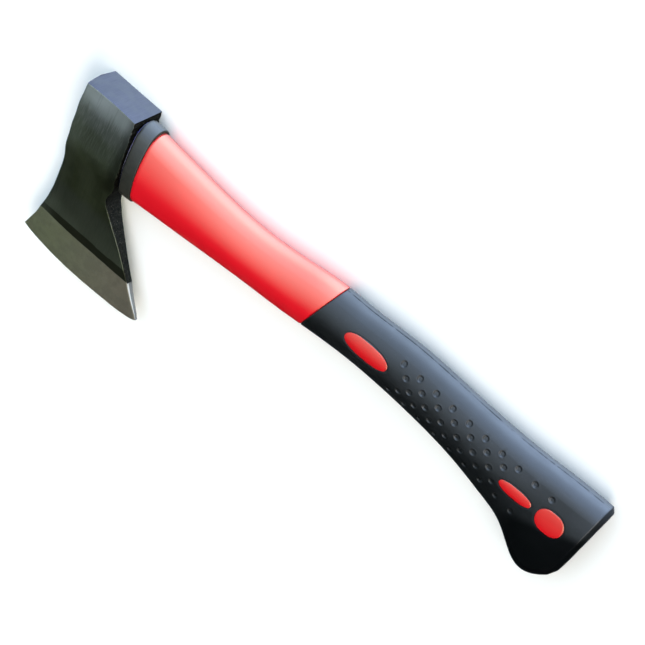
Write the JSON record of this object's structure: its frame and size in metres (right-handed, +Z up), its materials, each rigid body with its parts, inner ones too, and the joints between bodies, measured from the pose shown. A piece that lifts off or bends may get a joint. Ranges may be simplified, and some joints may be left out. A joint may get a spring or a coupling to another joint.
{
  "type": "hatchet",
  "caption": "Short one-hand hatchet: forged steel head with a ground bevel, on a fibreglass-cored handle with a dimpled soft grip and a hooked butt.",
  "frame": {"origin": "foot of the eye's centre on the plane that the hatchet lies on, below the middle of the eye along the handle", "axes": "+X from the head to the butt, +Y to the poll so that the cutting edge faces -Y, +Z up from the resting plane"},
  "size_m": [0.3699, 0.1213, 0.025],
  "materials": {
    "forged_steel": "thin dark coating over ground forged steel, bare brushed steel on the bevel and a blue-grey poll",
    "fibreglass": "pultruded glass and resin, lengthwise fibres",
    "red_polypropylene": "smooth semi-gloss moulded polypropylene",
    "collar_rubber": "satin moulded rubber",
    "grip_rubber": "satin soft-touch rubber with fine texture",
    "epoxy": "glossy cured epoxy"
  },
  "bodies": {
    "root": {"axe_head": "forged_steel", "core_rod": "fibreglass", "handle_jacket": "red_polypropylene", "neck_collar": "collar_rubber", "grip_sleeve": "grip_rubber", "eye_resin": "epoxy"}
  },
  "joints": []
}
